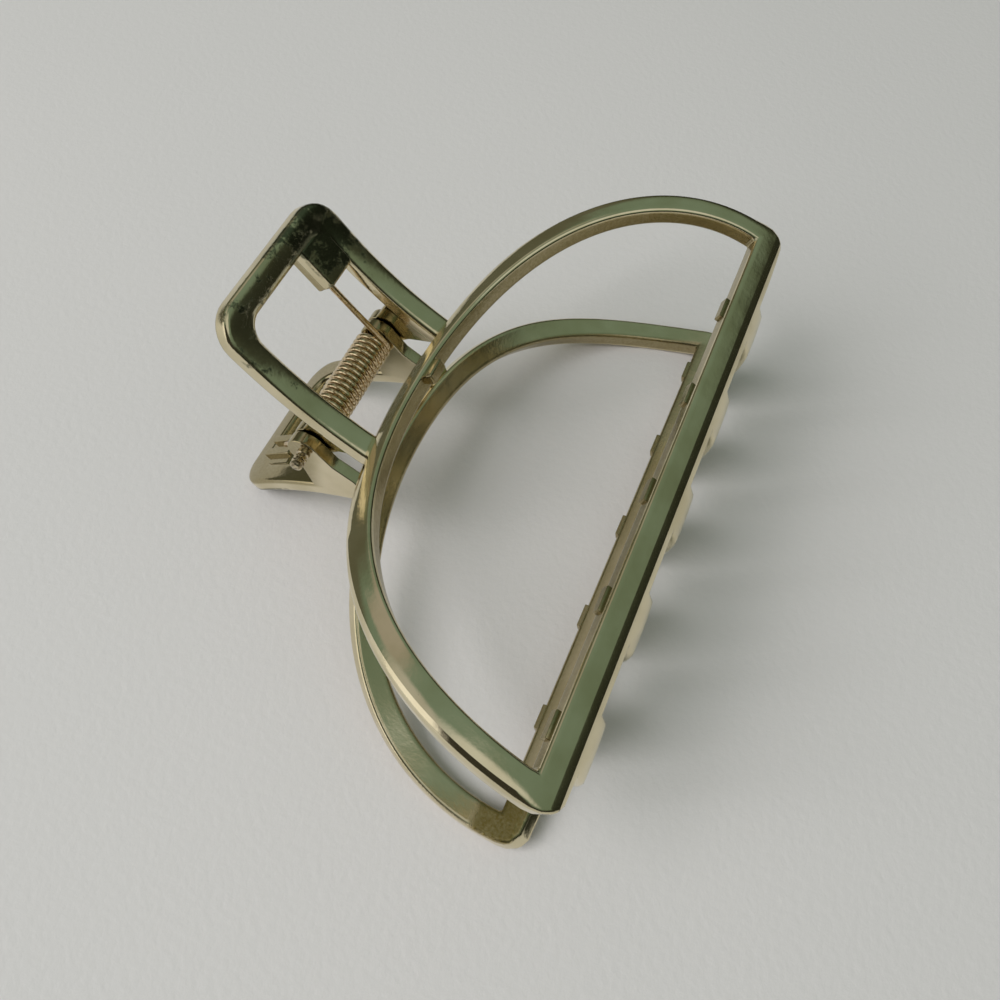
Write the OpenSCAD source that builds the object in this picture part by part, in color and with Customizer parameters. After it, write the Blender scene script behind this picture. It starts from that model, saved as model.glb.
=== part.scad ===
// Half-moon claw clip, closed: two identical cast jaws, a hinge pin and a torsion spring.
// A jaw is drawn with x along the hinge, y outwards from the parting plane and z
// towards the finger handles; the hinge axis is the x axis. The lower jaw is the same
// casting turned half a turn about z, without the small stub left inside the upper arch.
// lay_down() rests the closed clip on its lower jaw.

/* [Frame] */
// Length of the toothed bar
clip_length = 85; // [83:0.5:87]
// Height of the half moon, measured along its curved outer face
arch_height = 40.1; // [39:0.1:41]
// Fullness of the half moon: 2 is an ellipse, more is squarer
arch_fullness = 2.08; // [2:0.02:2.2]
// Radius of the jaw's curved outer face
shell_radius = 34.8; // [34:0.1:36]
// Depth of the frame's band
band_depth = 2.6; // [2.2:0.1:3]
// Width of the band round the arch
arch_band = 3.5; // [3:0.1:4]
// Width of the band along the bar
bar_band = 3.1; // [2.8:0.1:3.6]
// Width of the small casting stub inside the top of the arch
stub_width = 3.2; // [2:0.1:4]

/* [Teeth] */
// Distance between neighbouring teeth of one jaw
tooth_pitch = 15; // [14.5:0.1:15.5]
// Number of teeth on each jaw
tooth_count = 5; // [4:1:5]
// Width of a tooth at its root
tooth_root = 7; // [6:0.1:7.2]
// Width of a tooth at its tip
tooth_tip = 3; // [2:0.1:4]
// Thickness of a tooth
tooth_depth = 2.2; // [1.8:0.1:2.6]
// Radius of a tooth's outer curve below the bar
knuckle_radius = 9; // [8.5:0.1:9.5]
// Radius of the flatter curve from the knuckle to the tip
tip_radius = 26; // [22:1:30]
// How far a tooth's tip passes the parting plane
tip_reach = 3.5; // [2:0.1:4]

/* [Handles] */
// Width of a finger handle
handle_width = 23.8; // [22:0.1:25]
// Width of a handle's rail
rail_width = 3.45; // [3:0.05:4]
// Thickness of a handle
handle_depth = 2.3; // [2:0.1:2.6]
// Radius of a handle's hollow outer face
flare_radius = 50; // [48:0.5:54]
// Height of a handle's end above the hinge
handle_top = 9.95; // [9:0.05:11]
// Width of the bar across a handle's end
end_bar = 2.35; // [2:0.05:3]
// Radius of a handle's outer corners
handle_corner = 4; // [3:0.1:4.5]
// Width of the spring's seat in the corner of a handle
seat_width = 4.6; // [4:0.1:5]
// Length of the spring's seat
seat_length = 4.2; // [3.5:0.1:4.5]
// Height of the two ridges that keep the spring's leg in place
seat_ridge = 0.7; // [0.4:0.1:0.8]

/* [Hinge] */
// Diameter of the hinge pin
pin_d = 1.7; // [1.6:0.05:1.8]
// Length of the pin's free end outside the lug
pin_stub = 2.3; // [1.5:0.1:3]
// Thickness of a hinge lug
lug_depth = 1.8; // [1.6:0.05:1.85]
// Radius of the boss round the pin
boss_radius = 2.4; // [2.2:0.05:2.6]
// Radial clearance of the lugs that turn on the pin
running_gap = 0.05; // [0.02:0.01:0.09]
// Radial interference of the lugs that grip the pin
press_gap = 0.01; // [0.005:0.005:0.02]

/* [Spring] */
// Diameter of the spring wire
wire_d = 0.8; // [0.7:0.02:0.8]
// Outside diameter of the coil
coil_d = 5; // [4.8:0.1:5.2]
// Length of the coil between the middles of its end turns
coil_length = 15; // [14.8:0.1:15.2]
// Whole turns of the coil
coil_turns = 18; // [16:1:18]

/* [Hidden] */
$fn = 96;
bar_half = clip_length / 2;

// The jaw's outer face is part of a cylinder along x with this axis
shell_axis = [-19.66, -30.95];
apex_angle = 43.4;
function turn(s) = s / shell_radius * 180 / PI;
function face_angle(s) = apex_angle - turn(s);
function on_face(s, inset = 0) =
    shell_axis + (shell_radius - inset) * [cos(face_angle(s)), sin(face_angle(s))];

// The handle's hollow outer face is part of a cylinder along x with this axis
flare_axis = [2.1 + flare_radius, -28];
function flare_y(z, inset = 0) =
    flare_axis[0] - sqrt(pow(flare_radius + inset, 2) - pow(z - flare_axis[1], 2));

// The lower jaw rests on the end of its handle and on the bulge of its arch
foot = [flare_y(handle_top), handle_top];
foot_span = foot - shell_axis;
rest_tilt = acos(shell_radius / norm(foot_span)) - atan2(foot_span[1], foot_span[0]);
hinge_height = shell_radius + cos(rest_tilt) * shell_axis[0] - sin(rest_tilt) * shell_axis[1];

// A tooth's outer curve leaves the bar just inside its edge, turns round the knuckle and
// ends past the parting plane; the bar's own wall follows it to wall_end
bar_edge = on_face(arch_height, 0.15);
wall_inset = 0.2;
wall_half = bar_half - wall_inset;
knuckle_start = 40;
wall_end = 66;
root_overlap = 3;
knuckle_axis = bar_edge - knuckle_radius * [cos(knuckle_start), -sin(knuckle_start)];
tip_axis = knuckle_axis + [0, tip_radius - knuckle_radius];
tip_end = asin((tip_axis[0] + tip_reach) / tip_radius);

// The hinge lies behind the middle of the clip's length from handle end to knuckle
handle_end = foot[0] * sin(rest_tilt) + foot[1] * cos(rest_tilt);
knuckle_end = knuckle_axis[0] * sin(rest_tilt) - knuckle_axis[1] * cos(rest_tilt) + knuckle_radius;
hinge_setback = (handle_end - knuckle_end) / 2;

boss_gap = 0.2;
outer_lug = handle_width / 2 - lug_depth;
inner_lug = outer_lug - boss_gap - lug_depth;
pin_r = pin_d / 2;
pin_chamfer = 0.25;
head_depth = 0.8;
head_radius = 1.5;
head_gap = 0.1;

coil_radius = (coil_d - wire_d) / 2;
seat_clearance = 0.05;
groove_width = wire_d + 0.4;
groove_x = 5.6;
ridge_width = 1.2;
rail_inner = handle_width / 2 - rail_width;
window_top = handle_top - end_bar;
window_corner = 2.6;
root_z = -8.3;

// A spring leg runs straight from the coil to the underside of its seat
leg_end_z = window_top - 0.6;
leg_end_y = flare_y(leg_end_z, handle_depth + wire_d / 2 + seat_clearance);
leg_angle = atan2(leg_end_z, leg_end_y) + asin(coil_radius / norm([leg_end_y, leg_end_z]));
coil_sweep = 360 * coil_turns + 2 * leg_angle;
turn_steps = 16;
wire_sides = 8;

// Places a jaw's frame on the table, the hinge level and the teeth towards +y
module lay_down() {
    translate([0, hinge_setback, hinge_height]) rotate([90 - rest_tilt, 0, 0]) children();
}
module lay_lower() { lay_down() rotate([0, 0, 180]) children(); }

// Extrudes a profile drawn in y and z along x, from x0 for a length
module along_x(x0, length) {
    translate([x0, 0, 0]) rotate([90, 0, 90]) linear_extrude(length) children();
}
// Extrudes a profile drawn in x and z outwards, from y0 for a length
module along_y(y0, length) {
    translate([0, y0 + length, 0]) rotate([90, 0, 0]) linear_extrude(length) children();
}
// A curved wall: a tube along x about axis, between two radii
module curved_wall(axis, outer, inner) {
    translate([0, axis[0], axis[1]]) rotate([0, 90, 0]) difference() {
        cylinder(r = outer, h = clip_length + 2, center = true);
        cylinder(r = inner, h = clip_length + 4, center = true);
    }
}

// The half moon in x and z, its band's inner edge set in along the arch and the bar
function bow(v) = sign(v) * pow(abs(v), 2 / arch_fullness);
function half_moon(arch_inset, bar_inset) =
    let (rise = arch_height - arch_inset,
         low = asin(pow(bar_inset / rise, arch_fullness / 2)),
         steps = 44)
    [for (k = [0 : steps])
        let (a = low + (180 - 2 * low) * k / steps)
        [(bar_half - arch_inset) * bow(cos(a)), on_face(arch_height - rise * bow(sin(a)))[1]]];

module frame(with_stub) {
    color("palegoldenrod") union() {
        intersection() {
            curved_wall(shell_axis, shell_radius, shell_radius - band_depth);
            along_y(0, 20) difference() {
                polygon(half_moon(0, 0));
                polygon(half_moon(arch_band, bar_band));
            }
        }
        along_x(-wall_half, 2 * wall_half) wall_section();
        if (with_stub) casting_stub();
    }
}
// The wall that turns down from the bar's outer edge, as far as the roots of the teeth
module wall_section() {
    span = wall_end - knuckle_start;
    polygon(concat(
        [for (k = [0 : 5]) knuckle(knuckle_start + span * k / 5, 0)],
        [for (k = [5 : -1 : -2]) knuckle(knuckle_start + span * k / 5, tooth_depth)]
    ));
}
// The stub starts inside the band and stays between the jaw's two faces
module casting_stub() {
    end_x = -1.1;
    outer = 0.6;
    inner = 2.2;
    top = arch_band - 0.4;
    bottom = arch_band + 1.2;
    along_x(end_x - stub_width, stub_width)
        polygon([on_face(top, outer), on_face(bottom, outer), on_face(bottom, inner), on_face(top, inner)]);
}

// A tooth's section in y and z: its outer curve from the wall to the tip, then back
function knuckle(a, inset) = knuckle_axis + (knuckle_radius - inset) * [cos(a), -sin(a)];
function tip(a, inset) = tip_axis - (tip_radius - inset) * [sin(a), cos(a)];
module tooth_section() {
    span = 90 - wall_end + root_overlap;
    polygon(concat(
        [for (k = [0 : 4]) knuckle(90 - span + span * k / 4, 0)],
        [for (k = [1 : 4]) tip(tip_end * k / 4, 0)],
        [for (k = [4 : -1 : 1]) tip(tip_end * k / 4, tooth_depth)],
        [for (k = [4 : -1 : 0]) knuckle(90 - span + span * k / 4, tooth_depth)]
    ));
}
// A tooth's outline from outside the jaw: full width at the bar, rounded at the tip
module tooth_outline() {
    round_y = tooth_tip / 2 - tip_reach;
    translate([0, round_y]) circle(tooth_tip / 2);
    polygon([[-tooth_root / 2, 14], [-tooth_root / 2, 8], [-tooth_tip / 2, round_y],
             [tooth_tip / 2, round_y], [tooth_root / 2, 8], [tooth_root / 2, 14]]);
}
module teeth() {
    first_x = tooth_pitch * (tooth_count - 0.5) / 2;
    color("wheat") for (k = [0 : tooth_count - 1])
        intersection() {
            along_x(-wall_half, 2 * wall_half) tooth_section();
            translate([first_x - k * tooth_pitch, 0, -60]) linear_extrude(30) tooth_outline();
        }
}

// A plate in x and z with two rounded upper corners
module plate(half_width, bottom, top, corner) {
    translate([-half_width, bottom]) square([2 * half_width, top - corner - bottom]);
    translate([corner - half_width, bottom]) square([2 * (half_width - corner), top - bottom]);
    for (side = [-1, 1])
        translate([side * (half_width - corner), top - corner]) circle(corner);
}
module handle() {
    color("darkkhaki") intersection() {
        curved_wall(flare_axis, flare_radius + handle_depth, flare_radius);
        along_y(0, 25) difference() {
            plate(handle_width / 2, root_z, handle_top, handle_corner);
            plate(rail_inner, root_z - 1, window_top, window_corner);
        }
    }
}

// A gusset from the rail to a boss round the pin, drawn in y and z
gusset = [[2.1, 1.15], [7.5, -1], [5.3, -8.2], [3.2, -8.4], [1.8, -7], [0.5, -4], [-1.65, -1.7], [0, 0]];
module lug(x0, bore_radius) {
    color("gold") difference() {
        union() {
            translate([x0, 0, 0]) rotate([0, 90, 0]) cylinder(r = boss_radius, h = lug_depth);
            along_x(x0, lug_depth) polygon(gusset);
        }
        translate([x0 - 1, 0, 0]) rotate([0, 90, 0]) cylinder(r = bore_radius, h = lug_depth + 2);
    }
}
module hinge_lugs(bore_radius) {
    lug(-outer_lug - lug_depth, bore_radius);
    lug(inner_lug, bore_radius);
}

// The block in the handle's corner that the spring's leg pushes on, with a groove for the leg
module spring_seat() {
    inner_x = rail_inner - seat_width;
    color("khaki") intersection() {
        difference() {
            curved_wall(flare_axis, flare_radius + handle_depth + seat_ridge, flare_radius);
            difference() {
                curved_wall(flare_axis, flare_radius + 10, flare_radius + handle_depth);
                for (x0 = [-groove_x - groove_width / 2 - ridge_width, -groove_x + groove_width / 2])
                    translate([x0, 0, -10]) cube([ridge_width, 30, 40]);
            }
        }
        along_y(0, 25) translate([-rail_inner - 0.4, window_top - seat_length])
            square([seat_width + 0.4, seat_length + 0.5]);
    }
}

module pin() {
    color("lightgray") rotate([0, 90, 0]) union() {
        translate([0, 0, -handle_width / 2 - head_gap])
            cylinder(r = pin_r, h = handle_width + head_gap + pin_stub - pin_chamfer);
        translate([0, 0, handle_width / 2 + pin_stub - pin_chamfer])
            cylinder(r1 = pin_r, r2 = pin_r - pin_chamfer, h = pin_chamfer);
        translate([0, 0, -handle_width / 2 - head_gap - head_depth])
            cylinder(r = head_radius, h = head_depth);
    }
}

// The spring's wire: the upper leg from its seat to the coil, the coil, then the lower leg
coil_start = coil_radius * [sin(leg_angle), -cos(leg_angle)];
function upper_leg(k) =
    [-groove_x, leg_end_y, leg_end_z] * (1 - k) + [-coil_length / 2, coil_start[0], coil_start[1]] * k;
function coil_point(k) =
    let (a = leg_angle - 90 - coil_sweep * k)
    [coil_length * (k - 0.5), coil_radius * cos(a), coil_radius * sin(a)];
coil_steps = round(coil_sweep / 360 * turn_steps);
wire_path = concat(
    [for (k = [0 : 0.25 : 0.8]) upper_leg(k)],
    [for (i = [0 : coil_steps]) coil_point(i / coil_steps)],
    [for (k = [0.75 : -0.25 : 0]) let (p = upper_leg(k)) [-p[0], -p[1], p[2]]]
);
function unit(v) = v / norm(v);
function wire_ring(i) =
    let (last = len(wire_path) - 1,
         along = unit(wire_path[min(i + 1, last)] - wire_path[max(i - 1, 0)]),
         side = unit([1, 0, 0] - along[0] * along),
         across = cross(along, side))
    [for (k = [0 : wire_sides - 1])
        wire_path[i] + wire_d / 2 * (cos(360 * k / wire_sides) * side + sin(360 * k / wire_sides) * across)];
module spring() {
    rings = len(wire_path);
    points = [for (i = [0 : rings - 1]) each wire_ring(i)];
    walls = [for (i = [0 : rings - 2], k = [0 : wire_sides - 1])
        let (n = (k + 1) % wire_sides)
        [i * wire_sides + k, (i + 1) * wire_sides + k, (i + 1) * wire_sides + n, i * wire_sides + n]];
    ends = [[for (k = [0 : wire_sides - 1]) k],
            [for (k = [wire_sides - 1 : -1 : 0]) (rings - 1) * wire_sides + k]];
    color("sandybrown") polyhedron(points, concat(walls, ends));
}

lay_lower() frame(with_stub = false);  // lower_frame
lay_lower() teeth();  // lower_teeth
lay_lower() handle();  // lower_handle
lay_lower() hinge_lugs(pin_r - press_gap);  // lower_hinge_lugs
lay_lower() spring_seat();  // lower_spring_seat
lay_down() frame(with_stub = true);  // upper_frame
lay_down() teeth();  // upper_teeth
lay_down() handle();  // upper_handle
lay_down() hinge_lugs(pin_r + running_gap);  // upper_hinge_lugs
lay_down() spring_seat();  // upper_spring_seat
lay_down() pin();  // hinge_pin
lay_down() spring();  // torsion_spring
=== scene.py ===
# A half-moon claw clip in champagne plating: two cast jaws, a hinge pin and a torsion spring
import math

import bmesh
import bpy
from mathutils import Matrix, Vector


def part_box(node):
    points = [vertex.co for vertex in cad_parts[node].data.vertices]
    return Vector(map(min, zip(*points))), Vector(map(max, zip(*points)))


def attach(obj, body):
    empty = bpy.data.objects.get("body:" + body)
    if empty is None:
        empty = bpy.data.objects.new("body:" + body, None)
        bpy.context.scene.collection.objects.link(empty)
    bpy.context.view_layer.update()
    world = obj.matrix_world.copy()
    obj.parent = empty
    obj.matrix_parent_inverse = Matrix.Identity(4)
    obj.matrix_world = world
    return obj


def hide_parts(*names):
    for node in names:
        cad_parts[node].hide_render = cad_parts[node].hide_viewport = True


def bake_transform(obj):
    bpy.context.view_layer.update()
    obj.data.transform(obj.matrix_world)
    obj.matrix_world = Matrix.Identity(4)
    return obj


scene = bpy.context.scene
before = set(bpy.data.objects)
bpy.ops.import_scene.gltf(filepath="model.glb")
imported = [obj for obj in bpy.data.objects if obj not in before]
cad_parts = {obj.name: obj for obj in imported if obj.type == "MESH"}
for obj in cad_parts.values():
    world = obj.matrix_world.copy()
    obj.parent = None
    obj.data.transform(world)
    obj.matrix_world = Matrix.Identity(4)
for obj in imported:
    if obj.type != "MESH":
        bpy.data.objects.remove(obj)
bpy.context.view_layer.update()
print("frame loaded")

weld = 0.0005  # points nearer to each other than this become one, in millimetres

# Pieces are modelled in millimetres round the hinge, with x along it, y out of the upper jaw
# and z towards the handles, and then set in place
shell = {
    "axis": Vector((-19.66, -30.95)),
    "radius": 34.8,
    "apexAngle": 43.4,
    "half": 42.5,
    "rise": 40.1,
    "fullness": 2.08,
    "archBand": 3.5,
    "barBand": 3.1,
    "depth": 2.6,
    "cornerStart": 39.5,
    "cornerRadius": 3.3,
    "outlineSteps": 110,
    "endRound": 2.6,
    "endRoundX": 38.0,
    "endRoundTail": 1.3,
    "endRoundLimit": 0.97,
    "endLift": 0.3,
    "endLiftX": (33.0, 42.4),
    "endPlaces": (-33.0, -35.4, -37.8, -40.2),
    "lastPlace": 41,
    "outerEdge": 0.45,
    "outerEdgeDepth": 1.6,
    "outerEdgeReach": 0.93,
    "outerEdgeCorner": (39.5, 39.9),
    "innerEdge": 0.55,
    "rows": (0.0, 0.19, 0.33, 0.47, 0.74, 1.0),
    "shoulderWidth": 1.64,
    "shoulderNarrowing": 0.48,
    "shoulderDrop": 0.92,
    "shoulderSteepness": 0.8,
    "shoulderFade": (8.0, 24.0),
    "cornerFade": (6.0, 0.5),
    "creaseAngle": 27,
}
teeth = {
    "pitch": 15.0,
    "count": 5,
    "root": 7.0,
    "tip": 3.0,
    "tipEnd": 2.1,
    "depth": 2.2,
    "knuckleRadius": 4.6,
    "knuckleStart": -40.0,
    "wallEnd": -55.0,
    "tipRadius": 45.0,
    "tipSweep": 16.0,
    "rows": 11,
    "taperY": (-2.5, 9.0),
    "columns": (-0.5, -0.1667, 0.1667, 0.5, 0.88, 1.26),
    "crown": 0.08,
    "crownStart": 1,
    "crownFade": 5,
}
handle = {
    "radius": 50.0,
    "axis": Vector((52.1, -28.0)),
    "top": 9.95,
    "halfWidth": 11.9,
    "rail": 3.45,
    "depth": 2.3,
    "crown": 0.16,
    "outerCorner": 4.2,
    "windowCorner": 2.6,
    "length": 24.0,
    "rows": (0.0, 0.3, 0.5, 0.7, 1.0),
    "railSteps": 16,
    "cornerSteps": 8,
    "roundedEdge": 0.62,
    "hiddenEnd": 0.3,
}


def direction(degrees):
    return Vector((math.cos(math.radians(degrees)), math.sin(math.radians(degrees))))


def smoothStep(low, high, value):
    t = min(max((value - low) / (high - low), 0.0), 1.0)
    return t * t * (3 - 2 * t)


# The closed clip lies on the end of its lower handle and the bulge of its lower arch
topAngle = math.degrees(math.asin((handle["top"] - handle["axis"][1]) / handle["radius"]))
foot = handle["axis"] + handle["radius"] * Vector((-direction(topAngle)[0], direction(topAngle)[1]))
footSpan = foot - shell["axis"]
footAngle = math.atan2(footSpan[1], footSpan[0])
restTilt = math.degrees(math.acos(shell["radius"] / footSpan.length) - footAngle)
pinLow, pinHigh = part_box("hinge_pin")
hinge = Vector((0, (pinLow[1] + pinHigh[1]) / 2, (pinLow[2] + pinHigh[2]) / 2))
upright = Matrix.Rotation(math.radians(90 - restTilt), 4, "X")
placeUpper = Matrix.Translation(hinge) @ upright @ Matrix.Scale(0.001, 4)
placeLower = placeUpper @ Matrix.Rotation(math.pi, 4, "Z")


def arcPath(point, angle, arcs):  # joined arcs, each given by its radius and the normal's end angle
    joined, at = [], 0.0
    for radius, endAngle in arcs:
        centre = point - radius * direction(angle)
        joined.append((at, centre, radius, angle))
        point = centre + radius * direction(endAngle)
        at += radius * math.radians(angle - endAngle)
        angle = endAngle
    return joined, at


def onPath(joined, s, height):
    at, centre, radius, angle = [arc for arc in joined if arc[0] <= s + 1e-6][-1]
    return centre + (radius + height) * direction(angle - math.degrees((s - at) / radius))


def onHandle(s, height):  # s runs down from the handle's end, height outwards from its hollow face
    angle = topAngle - math.degrees(s / handle["radius"])
    out = (handle["radius"] - height) * direction(angle)
    return handle["axis"] + Vector((-out[0], out[1]))


def bendFlat(bm, where):  # flat x, s, height to x, y, z
    for vert in bm.verts:
        y, z = where(vert.co.y, vert.co.z)
        vert.co = (vert.co.x, y, z)


def roundEdges(bm, width, segments, wanted=None, sharper=50):
    bm.normal_update()
    sharp = [e for e in bm.edges if e.is_manifold and e.calc_face_angle(0) > math.radians(sharper)]
    if wanted:
        sharp = [e for e in sharp if wanted((e.verts[0].co + e.verts[1].co) / 2)]
    bmesh.ops.bevel(
        bm, geom=sharp, offset=width, offset_type="OFFSET", affect="EDGES", segments=segments,
        profile=0.5, material=-1, clamp_overlap=False,
    )


def thicken(bm, depth):
    made = bmesh.ops.extrude_face_region(bm, geom=bm.faces[:])
    under = [v for v in made["geom"] if isinstance(v, bmesh.types.BMVert)]
    bmesh.ops.translate(bm, vec=(0, 0, -depth), verts=under)
    bmesh.ops.recalc_face_normals(bm, faces=bm.faces[:])
    return under


def toObject(bm, name):
    bmesh.ops.recalc_face_normals(bm, faces=bm.faces[:])
    mesh = bpy.data.meshes.new(name)
    bm.to_mesh(mesh)
    bm.free()
    obj = bpy.data.objects.new(name, mesh)
    scene.collection.objects.link(obj)
    return obj


def shadeByAngle(bm, degrees):
    bm.normal_update()
    for face in bm.faces:
        face.smooth = True
    for edge in bm.edges:
        edge.smooth = edge.calc_face_angle(0) < math.radians(degrees)


def band(outer, inner, rows, closed):  # a flat strip between two outlines with as many points each
    bm = bmesh.new()
    steps = len(outer) if closed else len(outer) - 1
    bmesh.ops.create_grid(bm, x_segments=steps, y_segments=len(rows) - 1, size=0.5)
    for vert in bm.verts:
        k = round((vert.co.x + 0.5) * steps) % len(outer)
        row = rows[round((vert.co.y + 0.5) * (len(rows) - 1))]
        x, s = outer[k].lerp(inner[k], row)
        vert.co = (x, s, 0)
    bmesh.ops.remove_doubles(bm, verts=bm.verts[:], dist=0.001)
    return bm


# The half moon with its bar, wall and teeth, cut flat and bent round the jaw's arcs
barAngle = shell["apexAngle"] - math.degrees(shell["cornerStart"] / shell["radius"])
jawPath, jawLength = arcPath(
    shell["axis"] + shell["radius"] * direction(shell["apexAngle"]),
    shell["apexAngle"],
    [
        (shell["radius"], barAngle),
        (shell["cornerRadius"], teeth["knuckleStart"]),
        (teeth["knuckleRadius"], -90.0),
        (teeth["tipRadius"], -90.0 - teeth["tipSweep"]),
    ],
)
wallStart = shell["cornerStart"] + shell["cornerRadius"] * math.radians(barAngle - teeth["knuckleStart"])
wallEnd = wallStart + teeth["knuckleRadius"] * math.radians(teeth["knuckleStart"] - teeth["wallEnd"])
toothCentres = [teeth["pitch"] * ((teeth["count"] - 0.5) / 2 - k) for k in range(teeth["count"])]


def onJaw(s, height):  # s runs from the arch's crown over the bar to the tips
    return onPath(jawPath, s, height)


def bow(v):
    return math.copysign(abs(v) ** (2 / shell["fullness"]), v)


def barPlaces():  # where the columns of points along the bar lie
    places = [-shell["half"], shell["half"]]
    for centre in toothCentres:
        places += [centre + teeth["root"] * f for f in teeth["columns"]]
    places += shell["endPlaces"]
    return sorted(x for x in places if abs(x) < shell["lastPlace"] or abs(x) == shell["half"])


def halfMoon(archInset, barInset):  # the outline, moved in along the arch and along the bar
    steps = shell["outlineSteps"]
    rise = shell["rise"] - archInset
    low = math.asin((barInset / rise) ** (shell["fullness"] / 2))
    points = []
    for k in range(steps + 1):
        a = low + (math.pi - 2 * low) * k / steps
        x = (shell["half"] - archInset) * bow(math.cos(a))
        points.append(Vector((x, shell["rise"] - rise * bow(math.sin(a)))))
    cornerX = points[0][0]
    for x in barPlaces()[1:-1]:
        points.append(Vector((x * cornerX / shell["half"], shell["rise"] - barInset)))
    return points


def toothAt(x):
    near = [c for c in toothCentres if abs(x - c) < teeth["root"] / 2 + 0.01]
    return near[0] if near else None


def extrudeRow(bm, edges, place):  # one more row of faces; place gives each new point from the old one
    made = bmesh.ops.extrude_edge_only(bm, edges=edges)["geom"]
    for vert in [g for g in made if isinstance(g, bmesh.types.BMVert)]:
        vert.co = place(vert.co)
    return [g for g in made if isinstance(g, bmesh.types.BMEdge)]


def endLift(x, s):  # the wall runs out towards the ends of the bar
    return shell["endLift"] * (s - wallStart) * smoothStep(*shell["endLiftX"], abs(x))


def roundCorners(bm):  # the ends of the bar turn in over its last few millimetres
    r = shell["endRound"]
    for vert in bm.verts:
        x, s, height = vert.co
        t = min(max((s - shell["rise"] + r) / (r + shell["endRoundTail"]), 0), shell["endRoundLimit"])
        inset = r * (1 - math.sqrt(1 - t * t)) * smoothStep(shell["endRoundX"], shell["half"], abs(x))
        vert.co.x -= math.copysign(inset, x)


def outerEdge(middle):  # along the outside of the arch and the ends of the wall
    x, s, height = middle
    reach = abs(x / shell["half"]) ** shell["fullness"]
    reach += (max(shell["rise"] - s, 0) / shell["rise"]) ** shell["fullness"]
    endX, barS = shell["outerEdgeCorner"]
    if height <= -shell["outerEdgeDepth"] or reach <= shell["outerEdgeReach"]:
        return False
    return s < barS or abs(x) > endX


def jawSheet():
    bm = band(halfMoon(0, 0), halfMoon(shell["archBand"], shell["barBand"]), shell["rows"], True)
    row = [e for e in bm.edges if all(abs(v.co.y - shell["rise"]) < 0.01 for v in e.verts)]
    for s in (wallStart, wallEnd):
        row = extrudeRow(bm, row, lambda co, s=s: Vector((co.x, s - endLift(co.x, s), 0)))
    for centre in toothCentres:
        edges = [e for e in row if all(toothAt(v.co.x) == centre for v in e.verts)]
        width = teeth["root"]
        for k in range(1, teeth["rows"] + 1):
            s = wallEnd + (jawLength - wallEnd) * k / teeth["rows"]
            y = onJaw(s, 0)[0]
            taper = smoothStep(*teeth["taperY"], y)
            target = teeth["tip"] + (teeth["root"] - teeth["tip"]) * taper
            if k == teeth["rows"]:
                target = teeth["tipEnd"]
            f = target / width
            edges = extrudeRow(
                bm, edges, lambda co, s=s, f=f: Vector((centre + (co.x - centre) * f, s, 0))
            )
            width = target
    roundCorners(bm)
    under = thicken(bm, shell["depth"])
    for vert in under:
        slim = smoothStep(shell["rise"] - 1, wallEnd, vert.co.y)
        vert.co.z = -shell["depth"] - (teeth["depth"] - shell["depth"]) * slim
    shapeFace(bm)
    roundEdges(bm, shell["outerEdge"], 4, outerEdge, 32)
    roundEdges(bm, shell["innerEdge"], 4)
    bmesh.ops.bisect_plane(
        bm, geom=bm.verts[:] + bm.edges[:] + bm.faces[:], plane_co=(0, shell["cornerStart"], 0),
        plane_no=(0, 1, 0),
    )
    bendFlat(bm, onJaw)
    return toObject(bm, "jawSheet")


def insideEdge(x, s):  # how far a point of the flat half moon lies in from the arch's outer edge
    power = shell["fullness"]
    across = abs(x / shell["half"])
    up = (shell["rise"] - s) / shell["rise"]
    steep = math.hypot(across ** (power - 1) / shell["half"], up ** (power - 1) / shell["rise"])
    return max(1 - across ** power - up ** power, 0) / (power * steep)


def shapeFace(bm):  # the shoulder at the top of the arch, and the crowned teeth
    for vert in bm.verts:
        x, s, height = vert.co
        if height < -0.01:
            continue
        if s < shell["rise"]:
            fade = smoothStep(*shell["shoulderFade"], abs(x))
            width = shell["shoulderWidth"] - shell["shoulderNarrowing"] * fade
            slope = max(1 - insideEdge(x, s) / width, 0)
            steepness = 1 - fade + shell["shoulderSteepness"] * fade * slope
            end = 1 - smoothStep(*[shell["rise"] - reach for reach in shell["cornerFade"]], s)
            vert.co.z -= shell["shoulderDrop"] * slope * steepness * end
        centre = toothAt(x)
        if s > wallStart and centre is not None:
            across = (x - centre) / (teeth["root"] / 2)
            fade = smoothStep(wallStart, wallEnd + teeth["crownStart"], s)
            fade = fade * (1 - smoothStep(wallEnd + teeth["crownFade"], jawLength, s))
            vert.co.z += teeth["crown"] * fade * max(1 - across * across, 0)


# The finger handle with the seat for the spring's leg
def roundedEnd(halfWidth, end, corner):  # up one rail, across the end and down the other
    steps, turn = handle["railSteps"], handle["cornerSteps"]
    rail = corner + end - handle["length"]
    points = [Vector((halfWidth, handle["length"] + rail * k / steps)) for k in range(steps)]
    for side in (0, 1):
        for k in range(turn + 1):
            a = math.radians(90 * k / turn + 90 * side)
            middle = (halfWidth - corner) * (1 - 2 * side)
            points.append(Vector((middle + corner * math.cos(a), end + corner - corner * math.sin(a))))
    points += [Vector((-p[0], p[1])) for p in reversed(points[:steps])]
    return points


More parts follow.
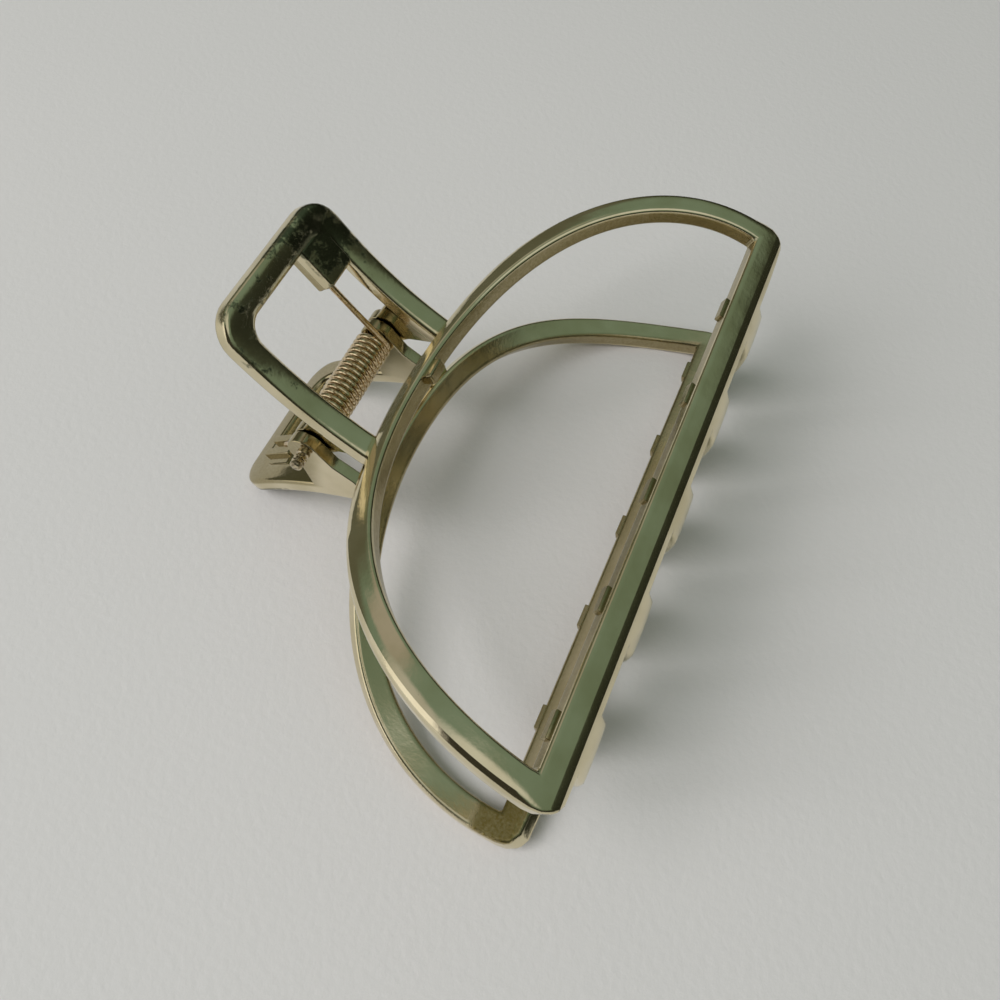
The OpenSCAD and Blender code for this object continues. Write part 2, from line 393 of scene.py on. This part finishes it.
def fingerHandle():
    inner = handle["halfWidth"] - handle["rail"]
    bm = band(
        roundedEnd(handle["halfWidth"], 0, handle["outerCorner"]),
        roundedEnd(inner, handle["rail"], handle["windowCorner"]), handle["rows"], False,
    )
    for vert in bm.verts:  # a slightly domed outer face
        x, s, height = vert.co
        across = min(handle["halfWidth"] - abs(x), s) / handle["rail"]
        vert.co.z = handle["crown"] * max(1 - (2 * across - 1) ** 2, 0)
    under = thicken(bm, handle["depth"])
    for vert in under:
        vert.co.z = -handle["depth"]
    reach = handle["length"] - handle["hiddenEnd"]
    roundEdges(bm, handle["roundedEdge"], 4, lambda middle: middle.y < reach)
    bendFlat(bm, onHandle)
    return toObject(bm, "fingerHandle")


def flatBlock(name, low, high, edge, where):  # a rounded block between two corners in flat coordinates
    bm = bmesh.new()
    bmesh.ops.create_cube(bm, size=1)
    low, high = Vector(low), Vector(high)
    for vert in bm.verts:
        vert.co = [low[i] + (vert.co[i] + 0.5) * (high[i] - low[i]) for i in range(3)]
    roundEdges(bm, edge, 3)
    bendFlat(bm, where)
    return toObject(bm, name)


seat = {
    "outerX": -8.9,
    "innerX": -3.85,
    "length": 5.9,
    "overlap": 0.5,
    "top": -0.02,
    "roundedEdge": 0.45,
    "ridge": 0.7,
    "ridgeWidth": 1.2,
    "ridgeStart": 0.4,
    "ridgeEnd": 0.2,
    "ridgeRoot": 0.6,
    "ridgeEdge": 0.25,
    "grooveX": -5.6,
    "groove": 1.2,
}


def springSeat():
    end = handle["rail"] - seat["overlap"]
    base = handle["depth"]
    low = (seat["outerX"], end, -base)
    high = (seat["innerX"], end + seat["length"], seat["top"])
    blocks = [flatBlock("seatBlock", low, high, seat["roundedEdge"], onHandle)]
    half = seat["ridgeWidth"] / 2
    for side in (-1, 1):
        x = seat["grooveX"] + side * (seat["groove"] / 2 + half)
        low = (x - half, end + seat["ridgeStart"], -base - seat["ridge"])
        high = (x + half, end + seat["length"] - seat["ridgeEnd"], seat["ridgeRoot"] - base)
        blocks.append(flatBlock("seatRidge", low, high, seat["ridgeEdge"], onHandle))
    return blocks


# The hinge lugs
lug = {
    "boss": 2.4,
    "bossStart": 28.7,
    "bossSweep": 197.2,
    "bossSteps": 18,
    "depth": 1.8,
    "bore": 0.87,
    "roundedEdge": 0.25,
    "leftX": -11.86,
    "rightX": 8.1,
    "foot": [(0.5, -4.0), (1.8, -7.0), (3.2, -8.4), (5.3, -8.2), (7.5, -1.0)],
}


def hingeLug(x):
    bm = bmesh.new()
    steps = lug["bossSteps"]
    outline = [
        lug["boss"] * direction(lug["bossStart"] + lug["bossSweep"] * k / steps) for k in range(steps + 1)
    ]
    outline += [Vector(p) for p in lug["foot"]]
    bm.faces.new([bm.verts.new((x, p[0], p[1])) for p in outline])
    made = bmesh.ops.extrude_face_region(bm, geom=bm.faces[:])["geom"]
    farSide = [v for v in made if isinstance(v, bmesh.types.BMVert)]
    bmesh.ops.translate(bm, vec=(lug["depth"], 0, 0), verts=farSide)
    bmesh.ops.recalc_face_normals(bm, faces=bm.faces[:])
    roundEdges(bm, lug["roundedEdge"], 3, None, 60)
    return toObject(bm, "hingeLug")


def pinBore():
    bm = bmesh.new()
    bmesh.ops.create_cone(
        bm, cap_ends=True, segments=48, radius1=lug["bore"], radius2=lug["bore"], depth=30,
        matrix=Matrix.Rotation(math.pi / 2, 4, "Y"),
    )
    return toObject(bm, "pinBore")


def combine(base, tools):  # tools are (object, operation)
    for tool, operation in tools:
        cut = base.modifiers.new("cut", "BOOLEAN")
        cut.operation = operation
        cut.solver = "EXACT"
        cut.object = tool
    bpy.context.view_layer.update()
    mesh = bpy.data.meshes.new_from_object(base.evaluated_get(bpy.context.evaluated_depsgraph_get()))
    for obj in [base] + [tool for tool, operation in tools]:
        bpy.data.objects.remove(obj)
    return mesh


rib = {"half": 1.65, "foot": -0.4, "top": 0.3, "low": -2.5, "high": -1.2, "roundedEdge": 0.14}
stub = {"left": -4.3, "right": -1.1, "foot": -0.4, "top": 1.1, "low": -2.2, "high": -0.6, "roundedEdge": 0.3}


def barRibs():  # short ribs on the bar's inner wall, one behind each tooth
    inner = shell["rise"] - shell["barBand"]
    ribs = []
    for centre in toothCentres:
        low = (centre - rib["half"], inner + rib["foot"], rib["low"])
        high = (centre + rib["half"], inner + rib["top"], rib["high"])
        ribs.append(flatBlock("barRib", low, high, rib["roundedEdge"], onJaw))
    return ribs


def castingStub():  # what is left of the casting's feed, inside the arch
    low = (stub["left"], shell["archBand"] + stub["foot"], stub["low"])
    high = (stub["right"], shell["archBand"] + stub["top"], stub["high"])
    return flatBlock("castingStub", low, high, stub["roundedEdge"], onJaw)


def castJaw(withStub):
    sheet = jawSheet()
    parts = [fingerHandle(), hingeLug(lug["leftX"]), hingeLug(lug["rightX"])] + springSeat() + barRibs()
    if withStub:
        parts.append(castingStub())
    return combine(sheet, [(part, "UNION") for part in parts] + [(pinBore(), "DIFFERENCE")])


def placePiece(mesh, name, place):
    bm = bmesh.new()
    bm.from_mesh(mesh)
    bmesh.ops.remove_doubles(bm, verts=bm.verts[:], dist=weld)
    shadeByAngle(bm, shell["creaseAngle"])
    for crease in (shell["cornerStart"], wallStart):  # crisp lines along the bar's outer edge
        line = onJaw(crease, 0)
        for edge in bm.edges:
            if all((Vector((v.co.y, v.co.z)) - line).length < 0.03 for v in edge.verts):
                edge.smooth = False
    bmesh.ops.transform(bm, matrix=place, verts=bm.verts[:])
    obj = toObject(bm, name)
    smooth = obj.modifiers.new("evenShading", "WEIGHTED_NORMAL")
    smooth.keep_sharp = True
    return obj


upperJaw = placePiece(castJaw(True), "upperJaw", placeUpper)
lowerJaw = placePiece(castJaw(False), "lowerJaw", placeLower)
print("jaws cast")

# The hinge pin: its far head, plain rod, grooved stub and domed end, as places along it and radii
pin = {
    "profile": [
        (-12.85, 0.0), (-12.85, 1.15), (-12.6, 1.5), (-12.25, 1.5), (-12.02, 1.3), (-12.0, 0.85),
        (11.95, 0.85), (12.1, 0.85), (12.25, 0.66), (12.45, 0.66), (12.6, 0.85), (12.85, 0.85),
        (12.95, 0.68), (13.1, 0.68), (13.2, 0.85), (13.45, 0.85), (13.55, 0.7), (13.65, 0.7),
        (13.75, 0.83), (13.95, 0.78), (14.1, 0.6), (14.19, 0.35), (14.2, 0.0),
    ],
    "steps": 40,
    "colour": (0.62, 0.53, 0.36, 1),
    "worn": (0.26, 0.21, 0.14, 1),
}


def hingePin():
    bm = bmesh.new()
    line = [bm.verts.new((x, r, 0)) for x, r in pin["profile"]]
    edges = [bm.edges.new(pair) for pair in zip(line, line[1:])]
    bmesh.ops.spin(
        bm, geom=line + edges, cent=(0, 0, 0), axis=(1, 0, 0), angle=2 * math.pi, steps=pin["steps"],
        use_merge=True,
    )
    bmesh.ops.remove_doubles(bm, verts=bm.verts[:], dist=weld)
    bmesh.ops.recalc_face_normals(bm, faces=bm.faces[:])
    bmesh.ops.transform(bm, matrix=placeUpper, verts=bm.verts[:])
    shadeByAngle(bm, 40)
    return toObject(bm, "hingePin")


hingePinPiece = hingePin()

# The torsion spring
spring = {
    "wire": 0.8,
    "coilRadius": 2.1,
    "length": 15.0,
    "turns": 18,
    "stepsPerTurn": 30,
    "legX": 5.6,
    "legTop": 7.0,
    "legSteps": 8,
    "clearance": 0.05,
    "colour": (0.82, 0.67, 0.44, 1),
    "drawn": (0.46, 0.34, 0.20, 1),
}


def springPath():  # in from one seat, round the pin and out to the other
    clear = handle["depth"] + spring["wire"] / 2 + spring["clearance"]
    radius = handle["radius"] + clear
    topY = handle["axis"][0] - math.sqrt(radius ** 2 - (spring["legTop"] - handle["axis"][1]) ** 2)
    legEnd = Vector((-spring["legX"], topY, spring["legTop"]))
    reach = math.hypot(topY, spring["legTop"])
    legAngle = math.atan2(spring["legTop"], topY) + math.asin(spring["coilRadius"] / reach)
    sweep = 2 * math.pi * spring["turns"] + 2 * legAngle
    across, up = spring["coilRadius"] * math.sin(legAngle), -spring["coilRadius"] * math.cos(legAngle)
    start = Vector((-spring["length"] / 2, across, up))
    leg = [legEnd.lerp(start, k / spring["legSteps"]) for k in range(spring["legSteps"])]
    steps = round(sweep / (2 * math.pi) * spring["stepsPerTurn"])
    coil = []
    for k in range(steps + 1):
        a = legAngle - math.pi / 2 - sweep * k / steps
        x = spring["length"] * (k / steps - 0.5)
        coil.append(Vector((x, spring["coilRadius"] * math.cos(a), spring["coilRadius"] * math.sin(a))))
    return leg + coil + [Vector((-p.x, -p.y, p.z)) for p in reversed(leg)]


def torsionSpring():
    points = springPath()
    curve = bpy.data.curves.new("springWire", "CURVE")
    curve.dimensions = "3D"
    curve.bevel_depth = spring["wire"] / 2
    curve.bevel_resolution = 4
    curve.use_fill_caps = True
    line = curve.splines.new("POLY")
    line.points.add(len(points) - 1)
    for point, place in zip(line.points, points):
        point.co = (*place, 1)
    wire = bpy.data.objects.new("springWire", curve)
    scene.collection.objects.link(wire)
    bpy.context.view_layer.update()
    mesh = bpy.data.meshes.new_from_object(wire.evaluated_get(bpy.context.evaluated_depsgraph_get()))
    bpy.data.objects.remove(wire)
    bm = bmesh.new()
    bm.from_mesh(mesh)
    bmesh.ops.remove_doubles(bm, verts=bm.verts[:], dist=weld)
    bmesh.ops.transform(bm, matrix=placeUpper, verts=bm.verts[:])
    shadeByAngle(bm, 50)
    return toObject(bm, "torsionSpring")


springPiece = torsionSpring()
print("pin and spring made")


# Materials
class Wire:  # a node's output, so that shader maths reads as Python
    def __init__(self, tree, socket):
        self.tree = tree
        self.socket = socket

    def math(self, operation, *others):
        inputs = {i: value for i, value in enumerate((self,) + others)}
        return addNode(self.tree, "ShaderNodeMath", {"operation": operation}, inputs)

    def __add__(self, other):
        return self.math("ADD", other)

    def __sub__(self, other):
        return self.math("SUBTRACT", other)

    def __rsub__(self, other):
        return addNode(self.tree, "ShaderNodeMath", {"operation": "SUBTRACT"}, {0: other, 1: self})

    def __mul__(self, other):
        return self.math("MULTIPLY", other)

    def __abs__(self):
        return self.math("ABSOLUTE")

    __radd__ = __add__
    __rmul__ = __mul__

    def between(self, low, high):  # 0 below low, 1 above high, smooth between
        inputs = {"Value": self, "From Min": low, "From Max": high}
        return addNode(self.tree, "ShaderNodeMapRange", {"interpolation_type": "SMOOTHSTEP"}, inputs)


def addNode(tree, kind, settings=None, inputs=None, output=0):
    node = tree.nodes.new(kind)
    for name, value in (settings or {}).items():
        if name == "stops":
            ramp = node.color_ramp.elements
            while len(ramp) < len(value):
                ramp.new(0.5)
            for element, (position, colour) in zip(ramp, value):
                element.position = position
                element.color = (*colour, 1)
        else:
            setattr(node, name, value)
    for name, value in (inputs or {}).items():
        if isinstance(value, Wire):
            tree.links.new(value.socket, node.inputs[name])
        else:
            node.inputs[name].default_value = value
    return Wire(tree, node.outputs[output])


def newMaterial(name):
    material = bpy.data.materials.new(name)
    material.use_nodes = True
    tree = material.node_tree
    tree.nodes.clear()
    return material, tree


def finishMaterial(tree, values):
    surface = addNode(tree, "ShaderNodeBsdfPrincipled", {}, values)
    out = tree.nodes.new("ShaderNodeOutputMaterial")
    tree.links.new(surface.socket, out.inputs["Surface"])


def blendColour(tree, factor, first, second):
    return addNode(
        tree, "ShaderNodeMix", {"data_type": "RGBA", "clamp_factor": True},
        {0: factor, 6: first, 7: second}, 2,
    )


def noiseAt(tree, where, scale, detail=3.0, rough=0.5):
    inputs = {"Vector": where, "Scale": scale, "Detail": detail, "Roughness": rough}
    return addNode(tree, "ShaderNodeTexNoise", {}, inputs)


def clipPlaces(tree, turned):  # millimetres round the hinge, from the piece's own coordinates
    where = addNode(tree, "ShaderNodeTexCoord", {}, {}, 3)
    size = -0.001 if turned else 0.001
    inputs = {
        "Vector": where, "Location": hinge, "Rotation": (math.radians(90 - restTilt), 0, 0),
        "Scale": (size, size, 0.001),
    }
    placed = addNode(tree, "ShaderNodeMapping", {"vector_type": "TEXTURE"}, inputs)
    parts = tree.nodes.new("ShaderNodeSeparateXYZ")
    tree.links.new(placed.socket, parts.inputs[0])
    return placed, [Wire(tree, parts.outputs[i]) for i in range(3)]


plating = {
    "colour": (0.80, 0.715, 0.50, 1),
    "deep": (0.66, 0.58, 0.37, 1),
    "tarnish": (0.13, 0.135, 0.085, 1),
    "pits": (0.10, 0.09, 0.05, 1),
    # the inner colour is painted shade, laid on the opening's walls and on the handle's hollow face
    "inner": (0.30, 0.245, 0.12, 1),
    "cast": (0.30, 0.23, 0.075, 1),
    "roughness": 0.09,
    # where each skin and each painted shade fades in or out: places and depths in millimetres, while Up is 0
    # at the bar and 1 at the opening's crown, and Spread is 1 all along the opening's outline
    "farCornerX": -9.0,
    "farCornerReach": (2.0, 11.0),
    "farCornerZ": (1.0, 6.5),
    "wholeEndZ": (3.0, 7.0),
    "handleFaceDepth": (0.5, 0.9),
    "handleFaceZ": (-4.0, 2.0),
    "handleHollowDepth": (1.6, 2.0),
    "handleHollowZ": (-3.0, 0.0),
    "insideDepth": (1.9, 2.5),
    "insideZ": (-9.0, -7.5),
    "openingSpread": (1.0, 1.05),
    "openingDepth": (0.4, 0.8),
    "openingUp": (0.0, 0.1),
    "openingZ": (-7.0, -6.0),
    "castX": (36.4, 37.2),
    "castUp": (0.15, 0.19),
}


def distanceFrom(axis, y, z):
    across, up = y - axis[0], z - axis[1]
    return (across * across + up * up).math("SQRT")


def goldPlating(name, turned):
    material, tree = newMaterial(name)
    where, (x, y, z) = clipPlaces(tree, turned)
    broad = noiseAt(tree, where, 0.16, 3)
    ripple = noiseAt(tree, where, 0.5, 2)
    fine = noiseAt(tree, where, 2.6, 4, 0.6)
    specks = noiseAt(tree, where, 5.5, 3, 0.7).between(0.69, 0.75)
    blotch = noiseAt(tree, where, 0.42, 9, 0.78)
    # tarnish spreads from the far corner of the handle over the spring's seat
    farCorner = 1 - abs(x - plating["farCornerX"]).between(*plating["farCornerReach"])
    farCorner = farCorner * z.between(*plating["farCornerZ"])
    wholeEnd = z.between(*plating["wholeEndZ"]) * 0.35
    handleDepth = distanceFrom(handle["axis"], y, z) - handle["radius"]
    top = (1 - handleDepth.between(*plating["handleFaceDepth"])) * z.between(*plating["handleFaceZ"])
    worn = (blotch + farCorner * 0.15 + wholeEnd * 0.12).between(0.57, 0.66) * top
    colour = blendColour(tree, broad.between(0.35, 0.65) * 0.8, plating["colour"], plating["deep"])
    colour = blendColour(tree, worn * 0.94, colour, plating["tarnish"])
    colour = blendColour(tree, specks * 0.7, colour, plating["pits"])
    # the inner side of the half moon is a little rougher
    depth = shell["radius"] - distanceFrom(shell["axis"], y, z)
    inside = depth.between(*plating["insideDepth"]) * (1 - z.between(*plating["insideZ"]))
    # painted shade: the walls round the opening are darkened towards brown where the inner walls lie in
    # shade; up and spread follow the opening's own half moon
    swing = (z - shell["axis"][1]).math("ARCTAN2", y - shell["axis"][0])
    barUp = shell["rise"] - shell["radius"] * math.radians(shell["apexAngle"])
    up = (swing * shell["radius"] + barUp) * (1 / (shell["rise"] - shell["archBand"]))
    wide = (abs(x) * (1 / (shell["half"] - shell["archBand"]))).math("POWER", shell["fullness"])
    spread = wide + up.math("MAXIMUM", 0.0).math("POWER", shell["fullness"])
    opening = (1 - spread.between(*plating["openingSpread"])) * depth.between(*plating["openingDepth"])
    opening = opening * up.between(*plating["openingUp"]) * (1 - z.between(*plating["openingZ"]))
    colour = blendColour(tree, opening * (0.45 + fine * 0.7), colour, plating["inner"])
    # painted shade: the handle's hollow face is darkened with the same shade colour
    hollow = handleDepth.between(*plating["handleHollowDepth"]) * z.between(*plating["handleHollowZ"])
    colour = blendColour(tree, hollow * (0.4 + fine * 0.6), colour, plating["inner"])
    # one end of the bar is left as cast underneath
    cast = inside * (0 - x).between(*plating["castX"]) * (1 - up.between(*plating["castUp"]))
    colour = blendColour(tree, cast * (0.4 + 0.9 * fine), colour, plating["cast"])
    rough = plating["roughness"] + broad * 0.05 + worn * 0.1 + specks * 0.2 + inside * 0.04
    rough = rough + opening * 0.1 + cast * 0.14
    height = fine * (0.25 + 0.3 * inside + 2.2 * cast + 0.3 * worn) + broad * 1.5 + ripple * 0.7
    bump = addNode(tree, "ShaderNodeBump", {}, {"Strength": 0.5, "Distance": 0.00006, "Height": height})
    finishMaterial(tree, {"Base Color": colour, "Metallic": 1.0, "Roughness": rough, "Normal": bump})
    return material


def wireMetal():
    material, tree = newMaterial("springWire")
    where = clipPlaces(tree, False)[0]
    drawn = noiseAt(tree, where, 3.5, 3)
    colour = blendColour(tree, drawn.between(0.35, 0.7), spring["colour"], spring["drawn"])
    bump = addNode(tree, "ShaderNodeBump", {}, {"Strength": 0.3, "Distance": 0.00003, "Height": drawn})
    rough = 0.08 + drawn * 0.1
    finishMaterial(tree, {"Base Color": colour, "Metallic": 1.0, "Roughness": rough, "Normal": bump})
    return material


def pinMetal():
    material, tree = newMaterial("pinMetal")
    where = clipPlaces(tree, False)[0]
    worn = noiseAt(tree, where, 2.2, 4)
    colour = blendColour(tree, worn.between(0.4, 0.65), pin["colour"], pin["worn"])
    bump = addNode(tree, "ShaderNodeBump", {}, {"Strength": 0.4, "Distance": 0.00004, "Height": worn})
    rough = 0.2 + worn * 0.15
    finishMaterial(tree, {"Base Color": colour, "Metallic": 1.0, "Roughness": rough, "Normal": bump})
    return material


for piece, material, slotName in (
    (upperJaw, goldPlating("goldPlatingUpper", False), "gold_plating"),
    (lowerJaw, goldPlating("goldPlatingLower", True), "gold_plating"),
    (hingePinPiece, pinMetal(), "pin_metal"),
    (springPiece, wireMetal(), "spring_wire"),
):
    piece.data.materials.clear()
    piece.data.materials.append(material)
print("materials set")

# What rides on what
jawNodes = ("frame", "teeth", "handle", "hinge_lugs", "spring_seat")
for piece, body, side in ((upperJaw, "upper_jaw", "upper_"), (lowerJaw, "lower_jaw", "lower_")):
    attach(piece, body)
    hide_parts(*[side + node for node in jawNodes])
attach(hingePinPiece, "lower_jaw")
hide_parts("hinge_pin")
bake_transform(springPiece)
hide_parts("torsion_spring")

# Table, light and camera
studio = {
    "floor": 2.9,
    "floorPale": (0.80, 0.775, 0.785, 1),
    "floorCloud": (0.75, 0.735, 0.745, 1),
    "backdrop": 3.0,
    "backdropGlow": (0.5, 0.5, 0.48, 1),
    "cameraPlace": Vector((0.0624, 0.02765, 0.12007)),
    "cameraBack": Vector((0.466, 0.174, 0.868)),
    "cameraUp": Vector((-0.791, -0.358, 0.496)),
    "lens": 34.18,
    "sensor": 36,
    "windowAim": Vector((0.0, 0.0, 0.01)),
    "windowPlace": Vector((0.62, -0.56, 0.88)),
    "windowSize": 0.82,
    "windowPower": 10.0,
    "windowColour": (0.985, 0.97, 0.955),
    # the room from straight below to straight above, and the brown wall low on one side
    "sky": [
        (0.0, (0.10, 0.10, 0.085)),
        (0.47, (0.05, 0.05, 0.04)),
        (0.51, (0.020, 0.022, 0.015)),
        (0.64, (0.028, 0.032, 0.022)),
        (0.70, (0.045, 0.052, 0.035)),
        (0.735, (0.150, 0.200, 0.150)),
        (0.83, (0.170, 0.232, 0.182)),
        (1.0, (0.185, 0.250, 0.200)),
    ],
    "wall": (0.115, 0.118, 0.085, 1),
    "wallSide": (0.15, 0.5),
    "wallFoot": (-0.02, 0.05),
    "wallTop": (0.45, 0.62),
    # bright and dark parts of the room: azimuth, elevation, full and outer angle, colour
    "room": [
        (356, 28, 26, 38, (0.042, 0.040, 0.030, 1)),
        (230, 52, 9, 18, (0.36, 0.34, 0.30, 1)),
        (290, 66, 12, 24, (0.45, 0.45, 0.42, 1)),
        (55, 66, 14, 30, (0.62, 0.63, 0.60, 1)),
        (311, 13, 18, 28, (1.0, 0.98, 0.95, 1)),
    ],
}


def lookAlong(obj, place, back, up):
    z = back.normalized()
    x = up.cross(z).normalized()
    y = z.cross(x)
    obj.matrix_world = Matrix.Translation(place) @ Matrix((x, y, z)).transposed().to_4x4()


def paperFloor():
    material, tree = newMaterial("paleTable")
    where = addNode(tree, "ShaderNodeTexCoord", {}, {}, 3)
    grain = noiseAt(tree, where, 900, 4)
    cloud = noiseAt(tree, where, 9, 3)
    colour = blendColour(tree, cloud, studio["floorPale"], studio["floorCloud"])
    bump = addNode(tree, "ShaderNodeBump", {}, {"Strength": 0.35, "Distance": 0.0002, "Height": grain})
    finishMaterial(tree, {"Base Color": colour, "Roughness": 0.75, "Normal": bump})
    return material


def makeFloor():
    bm = bmesh.new()
    bmesh.ops.create_circle(bm, cap_ends=True, segments=64, radius=studio["floor"])
    floor = toObject(bm, "paleTable")
    floor.data.materials.append(paperFloor())


def makeBackdrop():  # a pale shell round the table; the plating mirrors the room instead
    material, tree = newMaterial("paleBackdrop")
    pale = {"Base Color": (0, 0, 0, 1), "Roughness": 1.0, "Emission Strength": 1.0}
    pale["Emission Color"] = studio["backdropGlow"]
    finishMaterial(tree, pale)
    bm = bmesh.new()
    bmesh.ops.create_uvsphere(bm, u_segments=64, v_segments=32, radius=studio["backdrop"])
    backdrop = toObject(bm, "paleBackdrop")
    backdrop.data.materials.append(material)
    backdrop.visible_glossy = False
    backdrop.visible_diffuse = False
    backdrop.visible_shadow = False


def windowLight():
    data = bpy.data.lights.new("window", "AREA")
    data.shape = "RECTANGLE"
    data.size = data.size_y = studio["windowSize"]
    data.energy = studio["windowPower"]
    data.color = studio["windowColour"]
    light = bpy.data.objects.new("window", data)
    light.visible_glossy = False  # what the plating mirrors is the room
    scene.collection.objects.link(light)
    place = studio["windowPlace"]
    lookAlong(light, studio["windowAim"] + place, place, Vector((0, 0, 1)))


def makeCamera():
    data = bpy.data.cameras.new("camera")
    data.lens = studio["lens"]
    data.sensor_width = studio["sensor"]
    data.clip_start = 0.01
    camera = bpy.data.objects.new("camera", data)
    scene.collection.objects.link(camera)
    lookAlong(camera, studio["cameraPlace"], studio["cameraBack"], studio["cameraUp"])
    scene.camera = camera


def roomLight():  # dark low down, grey-green higher up
    world = bpy.data.worlds.new("room")
    scene.world = world
    world.use_nodes = True
    tree = world.node_tree
    tree.nodes.clear()
    along = addNode(tree, "ShaderNodeTexCoord", {}, {}, 0)
    parts = tree.nodes.new("ShaderNodeSeparateXYZ")
    tree.links.new(along.socket, parts.inputs[0])
    east, north, height = [Wire(tree, parts.outputs[i]) for i in range(3)]
    ramp = addNode(tree, "ShaderNodeValToRGB", {"stops": studio["sky"]}, {"Fac": height * 0.5 + 0.5})
    brown = (0 - north).between(*studio["wallSide"]) * (1 - height.between(*studio["wallTop"]))
    brown = brown * height.between(*studio["wallFoot"])
    light = blendColour(tree, brown, ramp, studio["wall"])
    for azimuth, elevation, core, rim, colour in studio["room"]:
        level, rising = direction(elevation)
        eastward, northward = direction(azimuth)
        toward = east * (level * eastward) + north * (level * northward) + height * rising
        spread = toward.between(math.cos(math.radians(rim)), math.cos(math.radians(core)))
        light = blendColour(tree, spread, light, colour)
    glow = addNode(tree, "ShaderNodeBackground", {}, {"Color": light, "Strength": 1.0})
    out = tree.nodes.new("ShaderNodeOutputWorld")
    tree.links.new(glow.socket, out.inputs["Surface"])


makeFloor()
makeBackdrop()
windowLight()
roomLight()
makeCamera()
scene.view_settings.view_transform = "Standard"
print("table, light and camera set")
